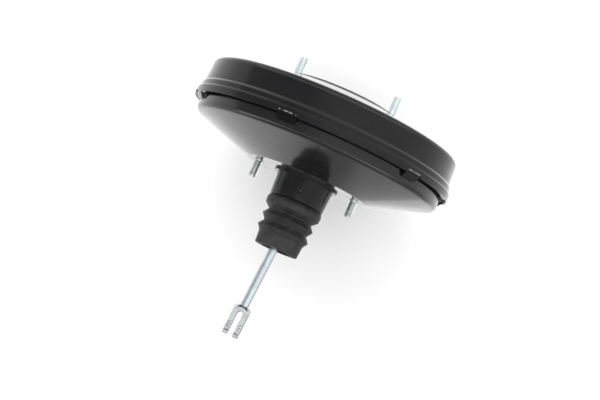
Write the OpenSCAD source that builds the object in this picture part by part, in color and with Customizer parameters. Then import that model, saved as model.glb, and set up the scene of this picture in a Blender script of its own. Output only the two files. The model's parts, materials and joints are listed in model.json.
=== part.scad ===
// Vacuum brake booster, single diaphragm, with push rod and clevis.
// Each piece is drawn about a local Z axis that runs from the pedal side (minus) to the
// cylinder side (plus), with its zero in the rear mounting face, and placed() lays that axis
// along +Y. Local -y becomes +Z, the top of the booster.

/* [Shells] */
// Thickness of the drawn shell sheet
sheet_t = 1.6; // [1.2:0.1:2.2]
// Outer radius of the front shell's drum wall at its front edge
drum_r = 132; // [128:0.5:136]
// Outward taper of the drum wall from its front edge to the first step
drum_taper = 1.2; // [0:0.1:2]
// Height of the front shell's outer land above the mounting face
land_z = 75.5; // [70:0.5:82]
// Rounding of the drum's front edge
drum_round = 5.5; // [3:0.5:8]
// Height of the first step in the drum wall
step1_z = 50.5; // [49:0.5:53]
// How far the first step stands out from the wall
step1_out = 1.9; // [1:0.1:2.4]
// Height of the second step in the drum wall
step2_z = 43.2; // [42:0.1:45]
// How far the second step stands out from the first
step2_out = 2.3; // [1.8:0.1:2.8]
// Height of the raised pad that carries the master cylinder
pad_z = 92; // [89:0.5:95]
// Radius of the raised pad
pad_r = 58.5; // [57:0.5:62]
// Depth of the step round the raised pad
pad_step = 1.5; // [1:0.1:3]
// How far inside the drum's edge the front shell's cone ends
land_in = 8; // [6:0.5:12]
// Radius of the bore that takes the master cylinder's spigot
spigot_r = 19.5; // [17:0.5:21]
// Depth of the turned-in collar round that bore
spigot_depth = 8; // [5:0.5:9]
// Radius of the rear shell's flat mounting face
face_r = 63; // [61:0.5:66]
// Slope of the rear shell's cone
cone_angle = 18.5; // [16:0.5:20]
// How far the rear shell's short wall stands in from the drum's front edge
wall_in = 2; // [1.5:0.1:2.6]

/* [Crimped joint] */
// Height of the rear shell's flange
flange_z = 37.9; // [37.4:0.1:38.4]
// Free length of the front shell's skirt past the flange
skirt_drop = 2.7; // [2:0.1:4]
// Number of crimp tabs
tab_count = 6; // [4:1:10]
// Width of one crimp tab
tab_w = 20; // [12:1:28]
// How far a tab reaches rearward of the flange
tab_drop = 8.3; // [7.5:0.1:8.8]
// How far a tab is bent inward
tab_in = 5.6; // [4.5:0.1:5.8]
// Angle from the top to the first tab
tab_start = 15; // [0:1:60]

/* [Studs] */
// Radius of the studs
stud_r = 4; // [3:0.5:5]
// Radius of a stud's shank in the shell and its backing plate
shank_r = 5; // [4.6:0.1:6]
// Distance between the two cylinder studs
front_pitch = 102.4; // [98:0.2:106]
// Height of the cylinder studs' tips
front_tip_z = 114.5; // [108:0.5:120]
// Distance between the two firewall studs
rear_pitch = 104; // [98:0.2:108]
// How far the firewall studs stand out of the face
rear_tip = 18; // [14:0.5:26]
// Radius of a stud's head inside the shell
stud_head_r = 7.5; // [6:0.5:8]
// Height of a stud's head
stud_head_h = 3; // [2:0.5:3.5]
// Thickness of the plates that back the studs
backing_t = 2.5; // [1.5:0.5:3]

/* [Neck and boot] */
// Radius of the guide sleeve next to the face
neck_r = 29.7; // [28:0.1:31]
// Radius of the guide sleeve at its rear end
neck_end_r = 28.3; // [27:0.1:29]
// Length of the guide sleeve behind the face
neck_len = 25.7; // [24:0.1:28]
// Radius of the guide sleeve's flange
neck_flange_r = 33.8; // [32:0.1:36]
// Thickness of the guide sleeve's flange
neck_flange_t = 2; // [1:0.1:3]
// Number of raised ribs on the guide sleeve
rib_count = 3; // [2:1:8]
// Radius of a rib's round section
rib_r = 3.2; // [2:0.1:4]
// Length of a rib behind the face
rib_len = 17.5; // [10:0.5:20]
// Wall of the rubber boot
boot_t = 2; // [1.6:0.1:2.1]
// Largest radius of the boot's first bulge
boot_bulge_r = 29; // [28:0.1:30]
// Radius of the boot's two folds
boot_fold_r = 27.2; // [26:0.1:28.5]
// Radius of the boot's valleys
boot_valley_r = 22.8; // [22.6:0.1:23.6]
// Rear end of the boot, measured from the face
boot_end = 76; // [75.5:0.5:78]
// Radius of the boot's rear opening
boot_mouth_r = 15.5; // [14:0.5:16.5]

/* [Piston and valve] */
// Radius of the valve body's tube
valve_r = 19.4; // [19:0.1:19.6]
// Radius of the valve body's bore
valve_bore_r = 15; // [14.8:0.1:15.4]
// Radius of the valve body's head
head_r = 27; // [25:0.5:29]
// Thickness of the diaphragm's support plate
plate_t = 1.4; // [1:0.1:1.8]
// Room outside the support plate for the diaphragm's rolling fold
fold_room = 20; // [18:0.5:24]
// Thickness of the rubber diaphragm
diaphragm_t = 2; // [1.5:0.1:2.2]
// Radius of the plunger where it slides in the valve body
plunger_r = 7; // [6.5:0.1:7.2]
// Free gap between plunger and reaction disc
reaction_gap = 1.5; // [1.4:0.1:2]
// Radius of the reaction disc
disc_r = 13.8; // [12:0.1:14.5]
// Thickness of the reaction disc
disc_t = 6.5; // [5:0.5:7.5]
// Wire radius of the return spring
spring_wire_r = 1.7; // [1.2:0.1:2]
// Number of turns in the return spring
spring_turns = 5; // [3:0.5:6]
// Height of the output rod's tip
output_tip_z = 82.5; // [80:0.5:83.5]

/* [Push rod] */
// Radius of the push rod
rod_r = 4.5; // [4:0.1:5]
// Radius of the push rod's ball
ball_r = 6; // [5.6:0.1:6.2]
// Distance from the mounting face back to the ball's centre
ball_back = 36; // [35:0.5:37]
// Sideways lean of the push rod in its ball seat
rod_lean = 3.4; // [0:0.1:4]
// Distance from the ball's centre to the clevis
clevis_start = 104; // [95:0.5:125]
// Length of the clevis
clevis_len = 32.5; // [28:0.5:40]
// Width of the clevis along its pin
clevis_w = 17; // [15:0.5:22]
// Depth of the clevis across its pin
clevis_d = 16.5; // [15:0.5:20]
// Width of the clevis slot
clevis_slot = 5.8; // [5:0.1:8]
// Thickness of the clevis base
clevis_base = 6; // [5:0.5:8]
// Radius of the clevis pin hole
clevis_pin_r = 4.1; // [3:0.1:4.6]
// Distance from the pin hole to the end of the clevis
clevis_pin_end = 9.5; // [8:0.5:11]

/* [Vacuum port] */
// Distance from the drum's front edge in to the vacuum port
port_in = 40; // [38:0.5:44]
// Angle from the top to the vacuum port
port_angle = 200; // [150:5:210]
// Radius of the flat boss round the port
port_boss_r = 17; // [15:0.5:20]
// Radius of the port's hole in the shell
port_hole_r = 11; // [9:0.5:12]
// Bore radius of the rubber grommet
port_bore_r = 8.5; // [6:0.5:8.5]

/* [Hidden] */
$fn = 96;
arc_steps = 5;
overshoot = 1;

// Clearances
fit = 0.05;
seat_gap = 0.2;
soft_gap = 0.3;

// Colours
black_paint = "#1b1b1d";
black_plastic = "#26221f";
rubber = "#2b2b2c";
zinc = "#c3cdd0";
steel = "#9a9da0";
phenolic = "#3a3532";
foam = "#57544f";

// Shell heights and radii that follow from the driving sizes
wall_r = drum_r - wall_in;
step1_r = drum_r + drum_taper + step1_out;
skirt_r = step1_r + step2_out;
flange_r = skirt_r - sheet_t - seat_gap;
cone_top_z = (wall_r - face_r) * tan(cone_angle);
skirt_z = flange_z - skirt_drop;
tab_angle = tab_w / skirt_r * 180 / PI;
tab_root = [skirt_r, flange_z - 0.3];
tab_tip = [skirt_r - tab_in, flange_z - tab_drop];
crimp_relief = 0.2;
slit_angle = 0.2;
bead_z = flange_z + sheet_t + seat_gap;
bead_top_z = step2_z - sheet_t - seat_gap;
bead_r = flange_r - seat_gap;
shell_hole_r = 27;
land_in_r = drum_r - land_in;
pad_foot_r = pad_r + 1.6;
front_slope = (pad_z - pad_step - land_z) / (land_in_r - pad_foot_r);
port_at = drum_r - port_in;
port_z = land_z + (land_in_r - port_at + port_boss_r) * front_slope + 0.5;
shank_out = 0.5;
backing_hole_r = spigot_r + sheet_t + 1;
front_backing_z = pad_z - sheet_t - backing_t;
front_backing_r = pad_r - 4;
rear_backing_r = face_r - 4;
rear_head_z = sheet_t + backing_t;

// Neck
neck_spigot_r = shell_hole_r - seat_gap;
neck_spigot_z = 5;
ledge_z = -1;
ledge_r = 25;
bush_r = 22;
bush_back = 14.5;
seal_r = 24.5;
seal_len = 8;
retainer_t = 1.2;
boot_mouth_t = 2;
boot_root = neck_len + seat_gap;
boot_valley_z = -40;
boot_pitch = 6;

// Piston stack, from the face forward
diaphragm_z = 8;
plate_z = diaphragm_z + diaphragm_t;
plate_flat_r = face_r + 3;
plate_rim = 6;
head_z = plate_z + plate_t;
head_front_z = head_z + 18.6;
valve_end = -(boot_end - boot_mouth_t);
valve_rim_len = 7;
valve_rim_r = boot_valley_r - 0.3 - boot_t - soft_gap;
disc_z = head_front_z - disc_t - 6.5;
plate_r = drum_r - fold_room;
plate_edge_z = plate_z + (plate_r - plate_flat_r) * tan(cone_angle);
fold_w = 9.5;
bead_w = 6;
output_head_t = 3.6;
output_stem_end = 13.2;
screw_room = 30;
screw_len = 20;
screw_end = 9;
hex_back = 11;
hex_t = 5;
tip_len = 7;
stem_r = 6;
screw_r = 3.6;
screw_head_r = 5.4;
seat_z = head_front_z;
seat_t = 1.2;
seat_r = head_r + 3;
spring_seat_r = seat_r - 5;
spring_front_r = front_pitch / 2 - stud_head_r - spring_wire_r - 6;

// Valve chamber, from its seats rearward
seat_face_z = -26.5;
vacuum_gap = 0.5;
seat_ring_in = 11.2;
seat_ring_out = 13.2;
chamber_front_z = seat_face_z + 1.5;
guide_back_z = chamber_front_z + 7;
poppet_z = seat_face_z - vacuum_gap;
poppet_t = 2.5;
poppet_hole_r = 8.7;
poppet_r = 14.2;
poppet_tail_z = -50;
retainer_z = poppet_tail_z - soft_gap;
retainer_in_r = 9.6;
lip_r = 10.4;
lip_t = 2.5;
cup_r = 8;
cup_back_z = -ball_back - 5;
cup_mouth_r = 5.4;
groove_r = 5;
key_t = 2;
key_z = ledge_z + soft_gap;
key_w = 16;
key_reach = 23;
key_travel = 1.7;
neck_rod_r = 3.6;
collar_back = 27;
collar_t = 2;
collar_r = 9;
filter_front_z = -67;
poppet_spring_r = 10.9;
poppet_wire_r = 0.5;
rod_spring_front_r = 8.4;
rod_spring_back_r = 10.6;
rod_wire_r = 0.6;
filter_hole_r = 9;
thread_r = 4;
thread_len = 5;

// Vector and outline helpers
function unit(v) = v / norm(v);
function side(a, b) = [unit(b - a)[1], -unit(b - a)[0]];
function last(v) = len(v) - 1;
function point(p) = [p[0], p[1]];

// The points of one rounded corner b between a and c
function corner(a, b, c, r) =
    let(u = unit(a - b), v = unit(c - b), half = acos(u * v) / 2)
    let(mid = b + unit(u + v) * r / sin(half))
    let(p = b + u * r / tan(half) - mid, q = b + v * r / tan(half) - mid)
    let(start = atan2(p[1], p[0]), turn = atan2(q[1], q[0]) - start)
    let(sweep = turn > 180 ? turn - 360 : turn < -180 ? turn + 360 : turn)
    [for (i = [0:arc_steps]) mid + r * [cos(start + sweep * i / arc_steps),
                                        sin(start + sweep * i / arc_steps)]];

// A line of [radius, height, rounding] points with its corners rounded
function rounded(p) = [
    for (i = [0:last(p)])
        let(r = len(p[i]) > 2 ? p[i][2] : 0)
        each (r == 0 ? [point(p[i])]
              : corner(point(p[i - 1]), point(p[i]), point(p[i + 1]), r))
];

// One point of a line, moved sideways by t, with the rounding that keeps the sheet even
function moved(p, i, t) =
    let(here = point(p[i]), r = len(p[i]) > 2 ? p[i][2] : 0)
    i == 0 ? here + side(here, point(p[1])) * t
    : i == last(p) ? here + side(point(p[i - 1]), here) * t
    : let(a = side(point(p[i - 1]), here), b = side(here, point(p[i + 1])), m = unit(a + b))
      concat(here + m * t / (m * a), r == 0 ? 0 : max(r + sign(cross(a, b)) * t, 0));

// Sheet of thickness t on the right-hand side of a line, as a closed outline
function sheet(p, t) = let(back = rounded([for (i = [0:last(p)]) moved(p, i, t)]))
    concat(rounded(p), [for (i = [last(back):-1:0]) back[i]]);

// Lays the local Z axis along +Y
module placed() {
    rotate([-90, 0, 0]) children();
}

// Solid of revolution of an outline of [radius, height] points
module turned(outline) {
    rotate_extrude() polygon(outline);
}

// Washer or tube
module ring(r_out, r_in, z, h) {
    translate([0, 0, z]) difference() {
        cylinder(r = r_out, h = h);
        translate([0, 0, -overshoot]) cylinder(r = r_in, h = h + 2 * overshoot);
    }
}

// Round wire coil between two heights, whose radius runs from r0 to r1
module coil(wire_r, r0, r1, z0, z1, turns, per_turn, sides) {
    steps = round(turns * per_turn);
    rings = [
        for (i = [0:steps])
            let(f = i / steps, a = 360 * turns * f, r = r0 + (r1 - r0) * f)
            [for (k = [0:sides - 1])
                let(b = 360 * k / sides, q = r + wire_r * cos(b))
                [q * cos(a), q * sin(a), z0 + wire_r + (z1 - z0 - 2 * wire_r) * f + wire_r * sin(b)]]
    ];
    points = [for (one = rings) each one];
    walls = [
        for (i = [0:steps - 1], k = [0:sides - 1])
            let(a = i * sides + k, b = i * sides + (k + 1) % sides)
            [a, a + sides, b + sides, b]
    ];
    first = [for (k = [0:sides - 1]) k];
    final = [for (k = [sides - 1:-1:0]) steps * sides + k];
    polyhedron(points, concat(walls, [first, final]));
}

// Outer line of the front shell from the spigot bore to its skirt
function shell_line() = [
    [spigot_r, pad_z - spigot_depth],
    [spigot_r, pad_z, 1.2],
    [pad_r, pad_z, 1.6],
    [pad_foot_r, pad_z - pad_step, 1.2],
    [land_in_r, land_z, 6],
    [drum_r, land_z, drum_round],
    [drum_r + drum_taper, step1_z, 1.2],
    [step1_r, step1_z - 2.2, 2],
    [step1_r, step2_z, 1.2],
    [skirt_r, step2_z - 1.5, 0.8]
];

// Section of the front shell with both the straight skirt and a bent tab, which crimp_cuts()
// parts from each other
function front_section() =
    let(bent = concat(shell_line(), [tab_root, tab_tip]))
    let(inner = rounded([for (i = [0:last(bent)]) moved(bent, i, sheet_t)]))
    concat(rounded(concat(shell_line(), [[skirt_r, skirt_z]])),
           [[skirt_r - sheet_t + 2 * crimp_relief, skirt_z], tab_tip - side(tab_root, tab_tip) * sheet_t / 2],
           [for (i = [last(inner):-1:0]) inner[i]]);

// Outer line of the rear shell from its neck hole to the flange
function rear_line() = [
    [shell_hole_r, 0],
    [face_r, 0, 5],
    [wall_r, cone_top_z, 5],
    [wall_r, flange_z, 1.2],
    [flange_r, flange_z]
];

module stud_holes(pitch, z, h) {
    for (x = [-1, 1])
        translate([x * pitch / 2, 0, z]) cylinder(r = shank_r + fit, h = h);
}

module at_port() {
    rotate([0, 0, port_angle]) translate([0, -port_at, 0]) children();
}

// Part of a revolve, centred on an angle from the top
module sector(middle, angle) {
    rotate([0, 0, -90 - middle - angle / 2]) rotate_extrude(angle = angle) children();
}

// What is cut away outside each bent tab, and inside the skirt left between two tabs
module crimp_cuts() {
    along = unit(tab_tip - tab_root);
    above = tab_root - along * sheet_t;
    below = tab_tip + along * sheet_t;
    for (i = [0:tab_count - 1]) {
        middle = tab_start + i * 360 / tab_count;
        sector(middle, tab_angle) polygon([above, below, [above[0], below[1]]]);
        sector(middle + 180 / tab_count, 360 / tab_count - tab_angle + slit_angle)
            translate([skirt_r - sheet_t + crimp_relief - 2 * tab_in, below[1]])
                square([2 * tab_in, flange_z + sheet_t - below[1]]);
    }
}

// Raised flat boss that the port's grommet sits in, down to the cone
module port_boss() {
    intersection() {
        at_port() translate([0, 0, land_z])
            cylinder(r1 = port_boss_r + 2, r2 = port_boss_r, h = port_z - land_z);
        turned([
            [pad_foot_r, pad_z - pad_step - sheet_t / 2], [pad_foot_r, pad_z], [drum_r, pad_z],
            [drum_r, land_z - sheet_t / 2], [land_in_r, land_z - sheet_t / 2]
        ]);
    }
}

module front_shell() {
    color(black_paint) placed() difference() {
        union() {
            turned(front_section());
            port_boss();
        }
        crimp_cuts();
        stud_holes(front_pitch, pad_z - 3 * sheet_t, 6 * sheet_t);
        at_port() {
            cylinder(r = port_hole_r, h = pad_z);
            translate([0, 0, land_z - 2 * sheet_t])
                cylinder(r1 = port_boss_r + 2 - sheet_t, r2 = port_boss_r - sheet_t,
                         h = port_z - land_z + sheet_t);
        }
    }
}

module rear_shell() {
    color(black_paint) placed() difference() {
        turned(sheet(rear_line(), -sheet_t));
        stud_holes(rear_pitch, -sheet_t, 3 * sheet_t);
    }
}

module front_backing_plate() {
    color(steel) placed() difference() {
        ring(front_backing_r, backing_hole_r, front_backing_z, backing_t);
        stud_holes(front_pitch, front_backing_z - overshoot, backing_t + 2 * overshoot);
    }
}

module rear_backing_plate() {
    color(steel) placed() difference() {
        ring(rear_backing_r, shell_hole_r + 4, sheet_t, backing_t);
        stud_holes(rear_pitch, sheet_t - overshoot, backing_t + 2 * overshoot);
    }
}

// Stud with its round head below zero, its shank up to face and its tip at reach
module stud(face, reach) {
    turned([
        [0, -stud_head_h], [stud_head_r - 0.6, -stud_head_h], [stud_head_r, -stud_head_h + 0.6],
        [stud_head_r, 0], [shank_r, 0], [shank_r, face + shank_out], [stud_r, face + shank_out],
        [stud_r, reach - 1.2], [stud_r - 1.2, reach], [0, reach]
    ]);
}

module cylinder_stud(x) {
    color(zinc) placed() translate([x * front_pitch / 2, 0, front_backing_z])
        stud(pad_z - front_backing_z, front_tip_z - front_backing_z);
}

module firewall_stud(x) {
    color(zinc) placed() translate([x * rear_pitch / 2, 0, rear_head_z])
        mirror([0, 0, 1]) stud(rear_head_z, rear_head_z + rear_tip);
}

module cylinder_stud_left() {
    cylinder_stud(-1);
}

module cylinder_stud_right() {
    cylinder_stud(1);
}

module firewall_stud_left() {
    firewall_stud(-1);
}

module firewall_stud_right() {
    firewall_stud(1);
}

// One raised rib with a round end, on the top of the sleeve
module neck_rib() {
    translate([0, -neck_r + 0.6, 0]) {
        translate([0, 0, -rib_len + rib_r]) cylinder(r = rib_r, h = rib_len - rib_r - 0.5);
        translate([0, 0, -rib_len + rib_r]) sphere(r = rib_r);
    }
}

module guide_sleeve() {
    color(black_plastic) placed() difference() {
        union() {
            turned(concat(
                [[0, -neck_len]],
                [[neck_end_r - 1, -neck_len], [neck_end_r, -neck_len + 1]],
                [[neck_r, -neck_flange_t], [neck_flange_r, -neck_flange_t], [neck_flange_r, 0]],
                [[neck_spigot_r, 0], [neck_spigot_r, neck_spigot_z], [0, neck_spigot_z]]
            ));
            for (i = [0:rib_count - 1])
                rotate([0, 0, i * 360 / rib_count]) neck_rib();
        }
        translate([0, 0, -neck_len - overshoot])
            cylinder(r = seal_r + seat_gap, h = neck_len - bush_back + overshoot);
        translate([0, 0, -neck_len]) cylinder(r = bush_r + fit, h = neck_len + ledge_z);
        translate([0, 0, -neck_len])
            cylinder(r = valve_r + 2 * seat_gap, h = neck_len + neck_spigot_z + overshoot);
        translate([0, 0, ledge_z]) cylinder(r = ledge_r, h = neck_spigot_z - ledge_z + overshoot);
    }
}

module guide_bush() {
    color("#d8d4c4") placed()
        ring(bush_r, valve_r + fit, -bush_back + seat_gap, bush_back + ledge_z - 2 * seat_gap);
}

module neck_seal() {
    color(rubber) placed() turned([
        [seal_r, -bush_back - seat_gap], [seal_r, -bush_back - seal_len],
        [seal_r - 1.5, -bush_back - seal_len], [seal_r - 2, -bush_back - 3],
        [valve_r + 1.8, -bush_back - 3], [valve_r + 0.9, -bush_back - seal_len + 1],
        [valve_r + 0.06, -bush_back - seal_len + 1], [valve_r + 0.4, -bush_back - 3],
        [valve_r + 0.4, -bush_back - seat_gap]
    ]);
}

module seal_retainer() {
    color(steel) placed()
        ring(seal_r, valve_r + 1.4, -bush_back - seal_len - soft_gap - retainer_t, retainer_t);
}

// Outer line of the boot from its lip under the sleeve to its rear opening
function boot_line() = [
    [seal_r, -boot_root],
    [neck_end_r - 0.4, -boot_root, 0.8],
    [boot_bulge_r, -boot_root - 3.6, 3],
    [boot_bulge_r - 0.4, -boot_root - 9, 2],
    [boot_valley_r, boot_valley_z, 1],
    [boot_fold_r, boot_valley_z - boot_pitch, 0.6],
    [boot_valley_r, boot_valley_z - 2 * boot_pitch, 1],
    [boot_fold_r, boot_valley_z - 3 * boot_pitch, 0.6],
    [boot_valley_r + 0.6, boot_valley_z - 3.9 * boot_pitch, 2],
    [boot_valley_r - 0.3, -boot_end, 0.8],
    [boot_mouth_r, -boot_end]
];

module dust_boot() {
    color(rubber) placed() turned(sheet(boot_line(), boot_t));
}

module vacuum_grommet() {
    color(rubber) placed() at_port() translate([0, 0, port_z]) difference() {
        turned([
            [0, -4.8], [port_hole_r + 1.2, -4.8], [port_hole_r + 2.2, -3.8],
            [port_hole_r + 2.2, -sheet_t - seat_gap], [port_hole_r - seat_gap, -sheet_t - seat_gap],
            [port_hole_r - seat_gap, seat_gap], [port_hole_r + 3.5, seat_gap],
            [port_hole_r + 3.5, 1.8], [port_hole_r + 2, 3], [0, 3]
        ]);
        translate([0, 0, -4.8 - overshoot]) cylinder(r = port_bore_r, h = 7.8 + 2 * overshoot);
    }
}

// Rear line of the support plate, which the diaphragm lies against
function plate_line() = [
    [valve_r + fit, plate_z],
    [plate_flat_r, plate_z, 4],
    [plate_r, plate_edge_z, 2],
    [plate_r, plate_edge_z + plate_rim]
];

// Front line of the diaphragm from the valve body out to the rolling fold
function diaphragm_line() = [
    [valve_r + fit, plate_z],
    [plate_flat_r, plate_z, 4],
    [plate_r + soft_gap, plate_edge_z, 2],
    [plate_r + soft_gap, plate_edge_z + plate_rim - 1, 2.5],
    [plate_r + fold_w, plate_edge_z + plate_rim - 1, 2.5],
    [plate_r + fold_w, bead_z + diaphragm_t, 2.5],
    [bead_r - bead_w, bead_z + diaphragm_t]
];

module diaphragm() {
    color(rubber) placed() {
        turned(sheet(diaphragm_line(), diaphragm_t));
        turned(rounded([
            [bead_r - bead_w, bead_z], [bead_r, bead_z], [bead_r, bead_z + 0.3],
            [bead_r - 2.2, bead_top_z - 0.2, 0.6], [bead_r - bead_w, bead_top_z - 0.2],
            [bead_r - bead_w, bead_z]
        ]));
        ring(valve_r + 4, valve_r + fit, diaphragm_z - 2.2, 2.2);
    }
}

module support_plate() {
    color(steel) placed() turned(sheet(plate_line(), -plate_t));
}

module valve_body() {
    color(phenolic) placed() difference() {
        turned([
            [0, valve_end], [valve_rim_r - 0.6, valve_end], [valve_rim_r, valve_end + 0.6],
            [valve_rim_r, valve_end + valve_rim_len], [valve_r, valve_end + valve_rim_len + 0.8],
            [valve_r, head_z], [head_r, head_z], [head_r, head_front_z - 2],
            [head_r - 2, head_front_z], [0, head_front_z]
        ]);
        // Rear chamber with its raised seat
        difference() {
            translate([0, 0, valve_end - overshoot])
                cylinder(r = valve_bore_r, h = chamber_front_z - valve_end + overshoot);
            ring(seat_ring_out, seat_ring_in, seat_face_z, chamber_front_z - seat_face_z + overshoot);
        }
        translate([0, 0, seat_face_z - overshoot])
            cylinder(r = seat_ring_in, h = guide_back_z - seat_face_z + overshoot);
        // Guide bore of the plunger
        cylinder(r = plunger_r + fit, h = 2 * (disc_z + 1), center = true);
        translate([0, 0, guide_back_z - overshoot]) cylinder(r = plunger_r + fit, h = disc_z);
        // Pocket of the reaction disc and the output rod's head
        translate([0, 0, disc_z]) cylinder(r = disc_r + seat_gap, h = head_front_z);
        // Slot of the stop key
        translate([-2 * valve_r, -(key_w + 2 * seat_gap) / 2, key_z - seat_gap / 2])
            cube([4 * valve_r, key_w + 2 * seat_gap, key_t + seat_gap]);
        // Vacuum passages from the front of the head to the seat
        for (a = [45, 135, 225, 315])
            rotate([0, 0, a]) translate([17, 0, guide_back_z])
                cylinder(r = 2, h = head_front_z);
    }
}

module stop_key() {
    color(steel) placed() difference() {
        translate([-key_reach, -key_w / 2, key_z]) cube([2 * key_reach, key_w, key_t]);
        translate([0, 0, key_z - overshoot]) cylinder(r = groove_r + 0.4, h = key_t + 2 * overshoot);
        translate([0, -groove_r - 0.4, key_z - overshoot])
            cube([2 * key_reach, 2 * groove_r + 0.8, key_t + 2 * overshoot]);
    }
}

module reaction_disc() {
    color(rubber) placed() translate([0, 0, disc_z]) cylinder(r = disc_r, h = disc_t);
}

module output_rod() {
    color(zinc) placed() difference() {
        turned([
            [0, disc_z + disc_t], [disc_r, disc_z + disc_t],
            [disc_r, disc_z + disc_t + output_head_t], [stem_r, disc_z + disc_t + output_head_t + 2],
            [stem_r, output_tip_z - output_stem_end - 0.8],
            [stem_r - 0.8, output_tip_z - output_stem_end], [0, output_tip_z - output_stem_end]
        ]);
        translate([0, 0, output_tip_z - screw_room]) cylinder(r = screw_r + fit, h = screw_room);
    }
}

module output_screw() {
    color(zinc) placed() {
        translate([0, 0, output_tip_z - screw_end - screw_len]) cylinder(r = screw_r, h = screw_len);
        translate([0, 0, output_tip_z - hex_back]) cylinder(r = screw_head_r, h = hex_t, $fn = 6);
        turned([[0, output_tip_z - tip_len], [screw_r + 0.4, output_tip_z - tip_len],
                [screw_r + 0.4, output_tip_z - 2], [screw_r - 1.4, output_tip_z], [0, output_tip_z]]);
    }
}

module spring_seat() {
    color(steel) placed() turned(sheet([
        [stem_r + 1, seat_z + 1.5 + seat_t],
        [stem_r + 4, seat_z + 1.5 + seat_t, 1.4],
        [stem_r + 8, seat_z + seat_t, 1.4],
        [seat_r, seat_z + seat_t, 1.4],
        [seat_r, seat_z - 4]
    ], seat_t));
}

module return_spring() {
    color(steel) placed()
        coil(spring_wire_r, spring_seat_r, spring_front_r, seat_z + seat_t + seat_gap,
             front_backing_z - seat_gap, spring_turns, 20, 8);
}

// Outline of the poppet: its sealing face, its rolling sleeve and its clamped bead
module poppet_valve() {
    color("#3b2f2b") placed() {
        ring(poppet_r - 0.6, poppet_hole_r, poppet_z - poppet_t, poppet_t);
        turned(sheet([
            [12.4, poppet_z - poppet_t + 0.4],
            [13.6, poppet_z - poppet_t - 1, 0.6],
            [12.6, poppet_z - 11, 2],
            [14, poppet_z - 16, 1.2],
            [13.6, poppet_tail_z + 1]
        ], 0.9));
        ring(valve_bore_r - 0.1, 12, poppet_tail_z, 2.2);
    }
}

module poppet_spring() {
    color(steel) placed()
        coil(poppet_wire_r, poppet_spring_r, poppet_spring_r, retainer_z + seat_gap,
             poppet_z - poppet_t - seat_gap, 5, 12, 6);
}

module poppet_retainer() {
    color(steel) placed() ring(valve_bore_r - 0.1, retainer_in_r, retainer_z - 1.4, 1.4);
}

module rod_return_spring() {
    color(steel) placed()
        coil(rod_wire_r, rod_spring_back_r, rod_spring_front_r,
             -ball_back - collar_back + collar_t / 2 + 0.9, retainer_z - 1.4 - seat_gap, 3, 12, 6);
}

module air_filter() {
    color(foam) placed() ring(valve_bore_r - 0.1, filter_hole_r, valve_end + 0.5,
                              filter_front_z - valve_end - 0.5);
}

module valve_plunger() {
    color(zinc) placed() difference() {
        turned([
            [0, cup_back_z], [cup_r - 0.8, cup_back_z], [cup_r, cup_back_z + 0.8],
            [cup_r, poppet_z + fit], [lip_r, poppet_z + fit], [lip_r, poppet_z + lip_t],
            [plunger_r, poppet_z + lip_t + 2], [plunger_r, key_z - key_travel],
            [groove_r, key_z - key_travel], [groove_r, key_z + key_t + seat_gap],
            [plunger_r, key_z + key_t + seat_gap], [plunger_r, disc_z - reaction_gap - 0.6],
            [plunger_r - 0.6, disc_z - reaction_gap], [0, disc_z - reaction_gap]
        ]);
        translate([0, 0, -ball_back]) sphere(r = ball_r + fit);
        translate([0, 0, cup_back_z - overshoot])
            cylinder(r = cup_mouth_r, h = -ball_back - cup_back_z - 1);
    }
}

// Sets the push rod's own axis, with its ball at the origin and the rod toward -Z
module leaning() {
    placed() translate([0, 0, -ball_back]) rotate([0, rod_lean, 0]) children();
}

module input_rod() {
    color(zinc) leaning() {
        sphere(r = ball_r);
        turned([
            [0, -clevis_start - thread_len + 0.3], [thread_r - 0.6, -clevis_start - thread_len + 0.3],
            [thread_r, -clevis_start - thread_len + 0.9], [thread_r, -clevis_start + seat_gap],
            [rod_r, -clevis_start + seat_gap], [rod_r, -collar_back - collar_t / 2],
            [collar_r, -collar_back - collar_t / 2], [collar_r, -collar_back + collar_t / 2],
            [rod_r, -collar_back + collar_t / 2], [rod_r, -12], [neck_rod_r, -10], [neck_rod_r, -4],
            [0, -4]
        ]);
    }
}

module clevis() {
    color(zinc) leaning() translate([0, 0, -clevis_start]) difference() {
        intersection() {
            turned(rounded([
                [0, 0], [clevis_w / 2 - 2.5, 0, 1], [clevis_w / 2 + 2.2, -4.5, 3],
                [clevis_w / 2 + 2.2, -clevis_len + 2, 1.5], [clevis_w / 2 + 1, -clevis_len], [0, -clevis_len]
            ]));
            translate([-clevis_w / 2, -clevis_d / 2, -clevis_len])
                cube([clevis_w, clevis_d, clevis_len]);
            union() {
                translate([-clevis_w, -clevis_d, clevis_pin_end - clevis_len])
                    cube([2 * clevis_w, 2 * clevis_d, clevis_len]);
                translate([-clevis_w, 0, clevis_pin_end - clevis_len]) rotate([0, 90, 0])
                    cylinder(r = clevis_pin_end, h = 2 * clevis_w);
            }
        }
        translate([0, 0, -clevis_base - overshoot]) cylinder(r = thread_r + fit, h = 2 * clevis_base);
        translate([-clevis_slot / 2, -clevis_d, -clevis_len - overshoot])
            cube([clevis_slot, 2 * clevis_d, clevis_len + overshoot - clevis_base - clevis_slot / 2]);
        translate([0, -clevis_d, -clevis_base - clevis_slot / 2]) rotate([-90, 0, 0])
            cylinder(r = clevis_slot / 2, h = 2 * clevis_d);
        translate([-clevis_w, 0, clevis_pin_end - clevis_len]) rotate([0, 90, 0])
            cylinder(r = clevis_pin_r, h = 2 * clevis_w);
    }
}

front_shell();
rear_shell();
front_backing_plate();
rear_backing_plate();
cylinder_stud_left();
cylinder_stud_right();
firewall_stud_left();
firewall_stud_right();
guide_sleeve();
guide_bush();
neck_seal();
seal_retainer();
dust_boot();
vacuum_grommet();
diaphragm();
support_plate();
valve_body();
stop_key();
reaction_disc();
output_rod();
output_screw();
spring_seat();
return_spring();
poppet_valve();
poppet_spring();
poppet_retainer();
rod_return_spring();
air_filter();
valve_plunger();
input_rod();
clevis();
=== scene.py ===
import json
import math

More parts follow.
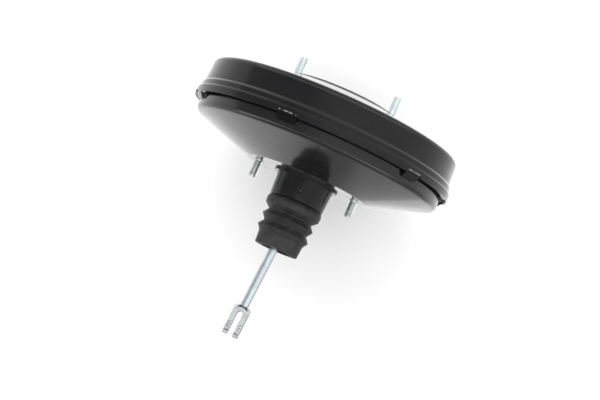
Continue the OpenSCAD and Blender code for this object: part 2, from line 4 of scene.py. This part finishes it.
import bmesh
import bpy
from mathutils import Matrix, Vector, noise


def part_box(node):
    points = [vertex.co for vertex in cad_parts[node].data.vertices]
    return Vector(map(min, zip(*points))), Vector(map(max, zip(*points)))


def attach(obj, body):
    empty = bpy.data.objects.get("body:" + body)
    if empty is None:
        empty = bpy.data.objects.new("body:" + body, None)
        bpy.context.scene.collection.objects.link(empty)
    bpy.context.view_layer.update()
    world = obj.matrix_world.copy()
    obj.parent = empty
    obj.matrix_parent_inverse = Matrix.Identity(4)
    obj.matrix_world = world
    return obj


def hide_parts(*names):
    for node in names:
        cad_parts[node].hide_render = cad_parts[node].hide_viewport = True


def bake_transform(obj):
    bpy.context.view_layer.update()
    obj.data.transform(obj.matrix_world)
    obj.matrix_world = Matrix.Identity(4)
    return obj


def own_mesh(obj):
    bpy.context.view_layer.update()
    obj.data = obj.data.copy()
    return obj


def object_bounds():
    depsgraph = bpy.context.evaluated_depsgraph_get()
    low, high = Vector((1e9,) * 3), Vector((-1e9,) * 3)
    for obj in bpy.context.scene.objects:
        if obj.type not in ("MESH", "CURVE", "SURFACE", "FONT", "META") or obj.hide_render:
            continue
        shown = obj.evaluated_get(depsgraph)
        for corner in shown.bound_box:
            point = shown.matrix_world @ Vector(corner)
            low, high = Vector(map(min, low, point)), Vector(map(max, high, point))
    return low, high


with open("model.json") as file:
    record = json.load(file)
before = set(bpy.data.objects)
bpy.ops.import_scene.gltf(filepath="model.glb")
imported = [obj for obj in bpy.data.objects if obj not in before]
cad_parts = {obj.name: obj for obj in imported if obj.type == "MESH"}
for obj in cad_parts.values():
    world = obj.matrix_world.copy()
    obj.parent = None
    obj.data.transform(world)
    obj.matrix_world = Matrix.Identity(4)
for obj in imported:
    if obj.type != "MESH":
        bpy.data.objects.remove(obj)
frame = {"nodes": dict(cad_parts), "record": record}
cad_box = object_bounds()
NODES = frame["nodes"]
MM = 0.001


# Camera: looks down at the part from 83 degrees, turned 23.6 degrees, from 2 m
AZ, EL, DISTANCE = math.radians(23.6), math.radians(83.0), 2.0
FRAME_W, FRAME_H, FOCAL_PX = 600, 400, 2000
ORIGIN_PX = (306.1, 180.6)
right = Vector((math.cos(AZ), math.sin(AZ), 0))
up = Vector((-math.sin(AZ) * math.sin(EL), math.cos(AZ) * math.sin(EL), math.cos(EL)))
back = right.cross(up)
lens = bpy.data.cameras.new("camera")
lens.sensor_fit = "HORIZONTAL"
lens.sensor_width = 36
lens.lens = 36 * FOCAL_PX / FRAME_W
lens.shift_x = -(ORIGIN_PX[0] - FRAME_W / 2) / FRAME_W
lens.shift_y = (ORIGIN_PX[1] - FRAME_H / 2) / FRAME_W
lens.clip_end = 50
camera = bpy.data.objects.new("camera", lens)
bpy.context.scene.collection.objects.link(camera)
camera.matrix_world = Matrix.Translation(back * DISTANCE) @ Matrix(
    (
        (right.x, up.x, back.x, 0),
        (right.y, up.y, back.y, 0),
        (right.z, up.z, back.z, 0),
        (0, 0, 0, 1),
    )
)
bpy.context.scene.camera = camera
bpy.context.scene.view_settings.view_transform = "Standard"


class Finish:
    """A procedural material under construction: a few named helpers around its node tree."""

    def __init__(self, name, of_world=False):
        kinds = bpy.data.worlds if of_world else bpy.data.materials
        self.material = kinds.new(name)
        self.material.use_nodes = True
        self.tree = self.material.node_tree
        self.tree.nodes.clear()
        last = "ShaderNodeOutputWorld" if of_world else "ShaderNodeOutputMaterial"
        self.output = self.tree.nodes.new(last)
        where = self.tree.nodes.new("ShaderNodeTexCoord")
        self.place = where.outputs["Generated" if of_world else "Object"]

    def node(self, kind, settings=None, **inputs):
        n = self.tree.nodes.new(kind)
        for key, value in (settings or {}).items():
            setattr(n, key, value)
        for key, value in inputs.items():
            self.put(n.inputs[key.replace("_", " ")], value)
        return n

    def put(self, socket, value):
        if isinstance(value, bpy.types.NodeSocket):
            self.tree.links.new(value, socket)
        else:
            socket.default_value = value

    def scaled(self, stretch):
        n = self.node("ShaderNodeMapping")
        self.put(n.inputs["Vector"], self.place)
        n.inputs["Scale"].default_value = stretch
        return n.outputs["Vector"]

    def noise(self, scale, detail=3.0, rough=0.55, stretch=None):
        n = self.node("ShaderNodeTexNoise", Scale=scale, Detail=detail, Roughness=rough)
        self.put(n.inputs["Vector"], self.scaled(stretch) if stretch else self.place)
        return n.outputs["Fac"]

    def ramp(self, value, low, high, at=(0.35, 0.65)):
        """A value or colour that goes from low to high while the input crosses at."""
        if isinstance(low, (int, float)):
            n = self.node("ShaderNodeMapRange", {"interpolation_type": "SMOOTHSTEP"})
            self.put(n.inputs["Value"], value)
            for key, number in zip(("From Min", "From Max", "To Min", "To Max"), (*at, low, high)):
                n.inputs[key].default_value = number
            return n.outputs["Result"]
        n = self.node("ShaderNodeValToRGB")
        self.put(n.inputs["Fac"], value)
        for element, position, colour in zip(n.color_ramp.elements, at, (low, high)):
            element.position = position
            element.color = (*colour, 1)
        return n.outputs["Color"]

    def mix(self, factor, a, b):
        n = self.node("ShaderNodeMix", {"data_type": "RGBA"})
        self.put(n.inputs["Factor"], factor)
        for socket, value in ((n.inputs[6], a), (n.inputs[7], b)):
            self.put(socket, value if isinstance(value, bpy.types.NodeSocket) else (*value, 1))
        return n.outputs[2]

    def maths(self, operation, a, b=0.0):
        n = self.node("ShaderNodeMath", {"operation": operation})
        self.put(n.inputs[0], a)
        self.put(n.inputs[1], b)
        return n.outputs[0]

    def bump(self, height, distance, strength=1.0, under=None):
        n = self.node("ShaderNodeBump", Strength=strength, Distance=distance)
        self.put(n.inputs["Height"], height)
        if under is not None:
            self.put(n.inputs["Normal"], under)
        return n.outputs["Normal"]

    def surface(self, **inputs):
        n = self.node("ShaderNodeBsdfPrincipled")
        for key, value in inputs.items():
            if isinstance(value, tuple):
                value = (*value, 1)
            self.put(n.inputs[key.replace("_", " ")], value)
        self.tree.links.new(n.outputs["BSDF"], self.output.inputs["Surface"])
        return self.material


def tab_roots(f):
    """1 on the bend at the root of each crimp tab, 0 elsewhere."""
    parts = f.node("ShaderNodeSeparateXYZ")
    f.put(parts.inputs[0], f.place)
    round_axis = f.maths("ARCTAN2", parts.outputs["X"], parts.outputs["Z"])
    turned = f.maths("ADD", round_axis, math.radians(15))
    at_tab = f.ramp(f.maths("COSINE", f.maths("MULTIPLY", turned, 6.0)), 0.0, 1.0, (0.90, 0.93))
    along = f.maths("ABSOLUTE", f.maths("SUBTRACT", parts.outputs["Y"], 0.0377))
    return f.maths("MULTIPLY", at_tab, f.ramp(along, 1.0, 0.0, (0.0004, 0.0009)))


def black_paint(name, ior, coat_ior, blur=1.0, highlit_and_scuffed_tabs=False):
    f = Finish(name)
    peel = f.noise(620, 2.0)
    waves = f.noise(14, 1.0)
    specks = f.ramp(f.noise(900, 2.0, 0.7), 0.0, 1.0, (0.70, 0.78))
    smudge = f.noise(48, 5.0, 0.6)
    normal = f.bump(waves, 0.0004, 0.2)
    normal = f.bump(peel, 0.00003, 0.25, normal)
    colour = f.mix(f.ramp(smudge, 0.0, 1.0), (0.0045, 0.0043, 0.0052), (0.0062, 0.0060, 0.0066))
    colour = f.mix(f.maths("MULTIPLY", specks, 0.3), colour, (0.04, 0.04, 0.04))
    if highlit_and_scuffed_tabs:
        # Lighter mottled colour along the bend of each crimp tab: a painted highlight of the bent edge, with paint
        # scuffs there too.
        tab_highlight_and_scuff = f.maths("MULTIPLY", tab_roots(f), f.ramp(f.noise(420, 3.0), 0.0, 1.0, (0.42, 0.56)))
        colour = f.mix(tab_highlight_and_scuff, colour, (0.16, 0.155, 0.16))
    return f.surface(
        Base_Color=colour,
        Roughness=f.ramp(smudge, 0.12 * blur, 0.18 * blur),
        IOR=ior,
        Coat_Weight=1.0,
        Coat_Roughness=f.ramp(smudge, 0.04 * blur, 0.07 * blur),
        Coat_IOR=coat_ior,
        Normal=normal,
        Coat_Normal=normal,
    )


def zinc(name, low, high, metallic=0.7):
    f = Finish(name)
    cloud = f.noise(160, 4.0)
    grain = f.noise(1500, 3.0, 0.6)
    colour = f.mix(f.ramp(cloud, 0.0, 1.0), low, high)
    return f.surface(
        Base_Color=colour,
        Metallic=metallic,
        Roughness=f.ramp(grain, 0.16, 0.24),
        Normal=f.bump(grain, 0.00003, 0.25),
    )


def steel():
    f = Finish("plain_steel")
    grain = f.noise(1200, 4.0, 0.6)
    colour = f.mix(f.ramp(f.noise(90, 3.0), 0.0, 1.0), (0.42, 0.42, 0.43), (0.55, 0.55, 0.55))
    return f.surface(
        Base_Color=colour,
        Metallic=1.0,
        Roughness=f.ramp(grain, 0.28, 0.42),
        Normal=f.bump(grain, 0.00003, 0.3),
    )


def moulded(name, low, high, rough, grain_scale=1400, depth=0.00003):
    f = Finish(name)
    grain = f.noise(grain_scale, 3.0, 0.6)
    cloud = f.noise(70, 4.0)
    return f.surface(
        Base_Color=f.mix(f.ramp(cloud, 0.0, 1.0), low, high),
        Roughness=f.ramp(cloud, rough - 0.04, rough + 0.04),
        IOR=1.4,
        Normal=f.bump(grain, depth, 0.4),
    )


def neck_plastic():
    """Glossy moulded plastic, a little wavy along its draw."""
    f = Finish("glossy_neck_plastic")
    waves = f.noise(55, 2.0, 0.5, (1.0, 0.25, 1.0))
    grain = f.noise(900, 2.0)
    cloud = f.noise(60, 5.0, 0.6)
    normal = f.bump(waves, 0.0012, 0.5)
    return f.surface(
        Base_Color=f.mix(f.ramp(cloud, 0.0, 1.0), (0.004, 0.004, 0.005), (0.008, 0.008, 0.008)),
        Roughness=f.ramp(cloud, 0.09, 0.16),
        IOR=1.36,
        Normal=f.bump(grain, 0.00003, 0.3, normal),
    )


def rubber():
    f = Finish("boot_rubber")
    bloom = f.noise(120, 6.0, 0.65)
    grain = f.noise(1800, 3.0, 0.6)
    colour = f.mix(f.ramp(bloom, 0.0, 1.0, (0.4, 0.7)), (0.013, 0.013, 0.013), (0.024, 0.024, 0.023))
    return f.surface(
        Base_Color=colour,
        Roughness=f.ramp(bloom, 0.40, 0.52),
        IOR=1.36,
        Normal=f.bump(grain, 0.00005, 0.4),
    )


def foam():
    f = Finish("filter_foam")
    cells = f.node("ShaderNodeTexVoronoi", Scale=900.0)
    f.put(cells.inputs["Vector"], f.place)
    height = cells.outputs["Distance"]
    return f.surface(
        Base_Color=f.mix(f.ramp(height, 0.0, 1.0, (0.1, 0.6)), (0.06, 0.055, 0.05), (0.20, 0.19, 0.17)),
        Roughness=0.95,
        Normal=f.bump(height, 0.0006, 0.8),
    )


PAINT = black_paint("black_paint", 1.22, 1.26)
# Front shell paint with a painted highlight and paint scuffs along each tab bend.
PAINT_WITH_TAB_HIGHLIGHT_AND_SCUFFS = black_paint("black_paint_with_painted_highlight_and_scuffs_at_tabs", 1.22, 1.26, highlit_and_scuffed_tabs=True)
REAR_PAINT = black_paint("black_paint_of_rear_shell", 1.24, 1.36, blur=1.5)
ZINC = zinc("zinc_plating", (0.72, 0.80, 0.82), (0.84, 0.88, 0.87), 0.8)
DULL_ZINC = zinc("zinc_on_clevis", (0.56, 0.61, 0.62), (0.68, 0.71, 0.70), 0.95)
BLUE_ZINC = zinc("zinc_on_rod", (0.62, 0.70, 0.75), (0.72, 0.78, 0.82), 1.0)
STUD_ZINC = zinc("zinc_on_firewall_studs", (0.62, 0.66, 0.67), (0.74, 0.77, 0.76), 0.9)
# Dark grey for the punch dots: painted shade of their dimples.
PUNCH_DOT_SHADE = zinc("painted_shade_of_punch_dots", (0.05, 0.05, 0.055), (0.10, 0.10, 0.10))
STEEL = steel()
PLASTIC = moulded("black_plastic", (0.005, 0.005, 0.007), (0.009, 0.0085, 0.009), 0.17)
NECK = neck_plastic()
BEARING = moulded("bearing_plastic", (0.55, 0.53, 0.47), (0.62, 0.60, 0.54), 0.45)
VALVE = moulded("valve_plastic", (0.022, 0.022, 0.024), (0.032, 0.031, 0.031), 0.38)
RUBBER = rubber()
INNER_RUBBER = moulded("inner_rubber", (0.016, 0.016, 0.016), (0.026, 0.026, 0.025), 0.6)
FOAM = foam()
FINISHES = {
    "black_paint": PAINT,
    "zinc_steel": ZINC,
    "plain_steel": STEEL,
    "black_plastic": PLASTIC,
    "bearing_plastic": BEARING,
    "valve_plastic": VALVE,
    "boot_rubber": RUBBER,
    "inner_rubber": INNER_RUBBER,
    "filter_foam": FOAM,
}
for entry in frame["record"]["subparts"]:
    mesh = NODES[entry["node"]].data
    mesh.materials.clear()
    mesh.materials.append(FINISHES[entry["material_slot"]])


def unit(v):
    return Vector(v).normalized()


def rounded(points, steps=6):
    """A line of (radius, place along the axis, rounding) points with its corners rounded."""
    out = []
    for i, (r, y, turn) in enumerate(points):
        here = Vector((r, y))
        if not turn:
            out.append(here)
            continue
        u = unit(Vector(points[i - 1][:2]) - here)
        v = unit(Vector(points[i + 1][:2]) - here)
        half = u.angle(v) / 2
        middle = here + (u + v).normalized() * turn / math.sin(half)
        p = here + u * turn / math.tan(half) - middle
        q = here + v * turn / math.tan(half) - middle
        start = math.atan2(p.y, p.x)
        sweep = (math.atan2(q.y, q.x) - start + math.pi) % (2 * math.pi) - math.pi
        for k in range(steps + 1):
            a = start + sweep * k / steps
            out.append(middle + Vector((math.cos(a), math.sin(a))) * turn)
    return out


def sheet(points, t):
    """Closed outline of a sheet of thickness t on the right-hand side of a line."""

    def side(a, b):
        d = unit(Vector(b[:2]) - Vector(a[:2]))
        return Vector((d.y, -d.x))

    moved = []
    for i, (r, y, turn) in enumerate(points):
        here = Vector((r, y))
        if i == 0:
            shift, corner = side(points[0], points[1]) * t, 0
        elif i == len(points) - 1:
            shift, corner = side(points[-2], points[-1]) * t, 0
        else:
            a, b = side(points[i - 1], points[i]), side(points[i], points[i + 1])
            m = (a + b).normalized()
            shift = m * t / m.dot(a)
            way = 1 if a.x * b.y - a.y * b.x > 0 else -1
            corner = max(turn + way * t, 0) if turn else 0
        moved.append((r + shift.x, y + shift.y, corner))
    return rounded(points) + rounded(moved)[::-1]


def make(name, rows, closed, centre=(0.0, 0.0), finish=None, sharp=35):
    """A mesh from rows of points in millimetres, each row one ring round the Y axis at centre (x, z)."""
    count = len(rows[0])
    mesh = bpy.data.meshes.new(name)
    verts = [(p[0] * MM + centre[0], p[1] * MM, p[2] * MM + centre[1]) for row in rows for p in row]
    faces = []
    last = len(rows) if closed else len(rows) - 1
    for i in range(last):
        j = (i + 1) % len(rows)
        for k in range(count):
            n = (k + 1) % count
            faces.append((i * count + k, i * count + n, j * count + n, j * count + k))
    if not closed:
        faces.append(tuple(range(count))[::-1])
        faces.append(tuple((len(rows) - 1) * count + k for k in range(count)))
    mesh.from_pydata(verts, [], faces)
    bm = bmesh.new()
    bm.from_mesh(mesh)
    bmesh.ops.recalc_face_normals(bm, faces=bm.faces)
    limit = math.radians(sharp)
    for face in bm.faces:
        face.smooth = True
    for edge in bm.edges:
        if len(edge.link_faces) == 2 and edge.calc_face_angle() > limit:
            edge.smooth = False
    bm.to_mesh(mesh)
    bm.free()
    piece = bpy.data.objects.new(name, mesh)
    bpy.context.scene.collection.objects.link(piece)
    piece.data.materials.append(finish)
    return piece


def ring_at(r, y, count, lead=0.0):
    """One ring of points; lead moves each point along Y in step with its angle."""
    return [
        (r * math.cos(2 * math.pi * k / count), y(k) if callable(y) else y + lead * k / count,
         r * math.sin(2 * math.pi * k / count))
        for k in range(count)
    ]


def lathe(name, outline, finish, count=160):
    return make(name, [ring_at(p[0], p[1], count) for p in outline], True, finish=finish)


def coil(name, finish, wire, r0, r1, y0, y1, turns, per_turn=48, sides=12):
    """Round wire spring whose closed ends lie in the planes y0 and y1."""
    rows = []
    steps = int(turns * per_turn)
    for i in range(steps + 1):
        f = i / steps
        a = 2 * math.pi * turns * f
        r = r0 + (r1 - r0) * f
        y = y0 + wire + (y1 - y0 - 2 * wire) * f
        rows.append([
            ((r + wire * math.cos(b)) * math.cos(a), y + wire * math.sin(b), (r + wire * math.cos(b)) * math.sin(a))
            for b in (2 * math.pi * k / sides for k in range(sides))
        ])
    return make(name, rows, False, finish=finish, sharp=80)


def threaded_stud(node, body_y, way, finish):
    """The stud of a CAD node with its M8 thread cut: way is the direction of its tip along Y."""
    low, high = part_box(node)
    centre = ((low[0] + high[0]) / 2, (low[2] + high[2]) / 2)
    head, tip = (low[1], high[1]) if way > 0 else (high[1], low[1])
    total = abs(tip - head) / MM
    face = abs(body_y * MM - head) / MM
    head_r, head_h, shank_r, crest, root, pitch = 7.5, 3.0, 5.0, 4.0, 3.35, 1.25
    count = 48
    plain = [(0.01, 0), (head_r - 0.6, 0), (head_r, 0.6), (head_r, head_h), (shank_r, head_h),
             (shank_r, face + 0.5), (crest - 0.35, face + 0.5), (crest - 0.35, face + 1.0)]
    rows = [ring_at(r, y, count) for r, y in plain]
    start, end = face + 1.0, total
    turn = start - pitch
    while turn < end + pitch:
        for share, r in ((0.0, crest), (0.12, crest), (0.44, root), (0.68, root)):
            row = []
            for k in range(count):
                y = turn + share * pitch + pitch * k / count
                y = min(max(y, start), end)
                limit = min(crest - 0.35 + (y - start) * 0.9, crest - 1.3 + (end - y) * 1.05)
                q = min(r, max(limit, 2.6))
                a = 2 * math.pi * k / count
                row.append((q * math.cos(a), y, q * math.sin(a)))
            rows.append(row)
        turn += pitch
    rows.append(ring_at(0.01, end, count))
    rows = [[(x, (head / MM + way * y), z) for x, y, z in row] for row in rows]
    piece = make("threaded_" + node, rows, False, centre=centre, finish=finish, sharp=30)
    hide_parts(node)
    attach(piece, "housing")


def boot():
    root, end, wall = -25.9, -76.0, 2.0
    line = [
        (24.5, root, 0), (27.9, root, 0.8), (29.0, root - 3.6, 3), (28.6, root - 9, 2), (22.8, -40, 1),
        (27.2, -46, 0.6), (22.8, -52, 1), (27.2, -58, 0.6), (23.4, -63.4, 2), (22.5, end, 0.8), (15.5, end, 0)
    ]
    piece = lathe("ribbed_boot", sheet(line, wall), RUBBER)
    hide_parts("dust_boot")
    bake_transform(piece)


def springs():
    low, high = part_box("return_spring")
    main = coil("main_spring", STEEL, 1.7, 25.0, 36.0, low[1] / MM, high[1] / MM, 5)
    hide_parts("return_spring")
    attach(main, "housing")
    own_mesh(main)
    low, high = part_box("rod_return_spring")
    small = coil("rod_spring", STEEL, 0.6, 10.6, 8.4, low[1] / MM, high[1] / MM, 3)
    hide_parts("rod_return_spring")
    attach(small, "power_piston")
    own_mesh(small)


def punch_marks():
    """A few punch dots on the clevis, beside its pin hole, on the edges that face up: flat dark discs just above the
    surface, a painted shade of dimples that are not cut.
    """
    lean = math.radians(3.4)
    along = Vector((-math.sin(lean), -math.cos(lean), 0))
    across = Vector((math.cos(lean), -math.sin(lean), 0))
    ball = Vector((0, -36, 0))
    spots = [(0.9, -1.6), (-0.8, 0.0), (0.8, 1.5), (-0.9, 3.0), (0.7, 4.4)]
    bm = bmesh.new()
    for prong in (-5.7, 5.7):
        for aside, further in spots:
            at = ball + along * (124.5 + further) + across * (prong + aside * 0.9) + Vector((0, 0, 8.27))
            bmesh.ops.create_circle(
                bm, cap_ends=True, segments=16, radius=0.62 * MM, matrix=Matrix.Translation(at * MM + Vector((0, 0, 0.00001)))
            )
    mesh = bpy.data.meshes.new("punch_marks")
    bm.to_mesh(mesh)
    bm.free()
    piece = bpy.data.objects.new("punch_marks", mesh)
    bpy.context.scene.collection.objects.link(piece)
    piece.data.materials.append(PUNCH_DOT_SHADE)
    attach(piece, "push_rod")


for stud, at, way, finish in (
    ("cylinder_stud_left", 92, 1, ZINC),
    ("cylinder_stud_right", 92, 1, ZINC),
    ("firewall_stud_left", 0, -1, STUD_ZINC),
    ("firewall_stud_right", 0, -1, STUD_ZINC),
):
    threaded_stud(stud, at, way, finish)
boot()
springs()
punch_marks()


NODES["clevis"].data.materials[0] = DULL_ZINC
NODES["input_rod"].data.materials[0] = BLUE_ZINC
NODES["guide_sleeve"].data.materials[0] = NECK
NODES["front_shell"].data.materials[0] = PAINT_WITH_TAB_HIGHLIGHT_AND_SCUFFS
NODES["rear_shell"].data.materials[0] = REAR_PAINT


def floor_finish():
    """White paper: the camera sees it as white, less the shadow that falls on it. Reflections see it at a painted
    level instead: white on the left and near the drum's face, with a painted shadow on the right and a painted dark
    strip near x = 35 mm.
    """
    f = Finish("paper")
    grain = f.noise(9, 3.0)
    colour = f.mix(f.ramp(grain, 0.0, 1.0), (0.775, 0.78, 0.775), (0.79, 0.795, 0.79))
    lit = f.node("ShaderNodeBsdfDiffuse")
    f.put(lit.inputs["Color"], colour)
    parts = f.node("ShaderNodeSeparateXYZ")
    f.put(parts.inputs[0], f.place)
    # Painted shadow for reflections: the floor they see fades from white on the left to 0.6 of white on the right.
    reflected_level_with_painted_shade = f.ramp(parts.outputs["X"], 1.0, 0.60, (-0.10, 0.0))
    # Painted dark strip within a few centimetres of x = 35 mm, seen in the rear cone as a dark reflected column.
    aside = f.maths("ABSOLUTE", f.maths("SUBTRACT", parts.outputs["X"], 0.035))
    reflected_level_with_painted_shade = f.maths("MULTIPLY", reflected_level_with_painted_shade, f.ramp(aside, 0.55, 1.0, (0.01, 0.05)))
    reflected_level_with_painted_shade = f.maths("MAXIMUM", reflected_level_with_painted_shade, f.ramp(parts.outputs["Y"], 0.0, 1.0, (-0.075, -0.05)))
    path = f.node("ShaderNodeLightPath")
    in_gloss = path.outputs["Is Glossy Ray"]
    white = f.node("ShaderNodeEmission")
    # Reflections see only this emission, at the painted level, and no real shadow.
    painted_dimming = f.maths("MULTIPLY", in_gloss, f.maths("SUBTRACT", 1.0, reflected_level_with_painted_shade))
    f.put(white.inputs["Strength"], f.maths("SUBTRACT", 1.0, painted_dimming))
    seen = f.maths("MAXIMUM", path.outputs["Is Camera Ray"], path.outputs["Is Transmission Ray"])
    share = f.maths("MAXIMUM", f.maths("MULTIPLY", seen, 0.1), in_gloss)
    both = f.node("ShaderNodeMixShader")
    f.put(both.inputs["Fac"], share)
    f.put(both.inputs[1], lit.outputs["BSDF"])
    f.put(both.inputs[2], white.outputs["Emission"])
    f.tree.links.new(both.outputs["Shader"], f.output.inputs["Surface"])
    return f.material


def stage():
    low = cad_box[0][2]
    half = 6.0
    mesh = bpy.data.meshes.new("floor")
    mesh.from_pydata(
        [(-half, -half, low), (half, -half, low), (half, half, low), (-half, half, low)],
        [],
        [(0, 1, 2, 3)],
    )
    floor = bpy.data.objects.new("floor", mesh)
    bpy.context.scene.collection.objects.link(floor)
    floor.data.materials.append(floor_finish())


def lighting():
    """A white studio whose ceiling is dark on the left, with one broad lamp from behind the drum."""
    f = Finish("studio", of_world=True)
    parts = f.node("ShaderNodeSeparateXYZ")
    f.put(parts.inputs[0], f.place)
    across, along, height = parts.outputs["X"], parts.outputs["Y"], parts.outputs["Z"]
    ceiling = f.ramp(across, 0.45, 1.0, (-0.5, 0.15))
    ceiling = f.maths("MULTIPLY", ceiling, f.ramp(along, 0.3, 1.0, (-0.75, -0.58)))
    rear_band = f.maths("MULTIPLY", f.ramp(along, 0.0, 3.0, (-0.60, -0.48)), f.ramp(along, 1.0, 0.0, (-0.30, -0.18)))
    front_band = f.maths("MULTIPLY", f.ramp(along, 0.0, 1.6, (0.30, 0.45)), f.ramp(along, 1.0, 0.0, (0.65, 0.90)))
    ceiling = f.maths("ADD", ceiling, f.maths("ADD", rear_band, front_band))
    edge = f.ramp(across, 0.15, 0.60, (-0.5, 0.8))
    up = f.node("ShaderNodeMapRange", {"interpolation_type": "SMOOTHSTEP"})
    f.put(up.inputs["Value"], height)
    up.inputs["From Min"].default_value = -0.05
    f.put(up.inputs["From Max"], edge)
    light = f.node("ShaderNodeMix", {"data_type": "FLOAT"})
    f.put(light.inputs["Factor"], up.outputs["Result"])
    light.inputs[2].default_value = 1.0
    f.put(light.inputs[3], ceiling)
    glow = f.node("ShaderNodeBackground")
    f.put(glow.inputs["Color"], light.outputs[0])
    f.tree.links.new(glow.outputs["Background"], f.output.inputs["Surface"])
    bpy.context.scene.world = f.material

    sun = bpy.data.lights.new("soft_key", "SUN")
    sun.energy = 1.2
    sun.angle = math.radians(55)
    lamp = bpy.data.objects.new("soft_key", sun)
    towards = Vector((-0.75, 1.0, 1.0))
    lamp.rotation_euler = towards.to_track_quat("Z", "Y").to_euler()
    lamp.visible_glossy = False
    bpy.context.scene.collection.objects.link(lamp)


stage()
lighting()
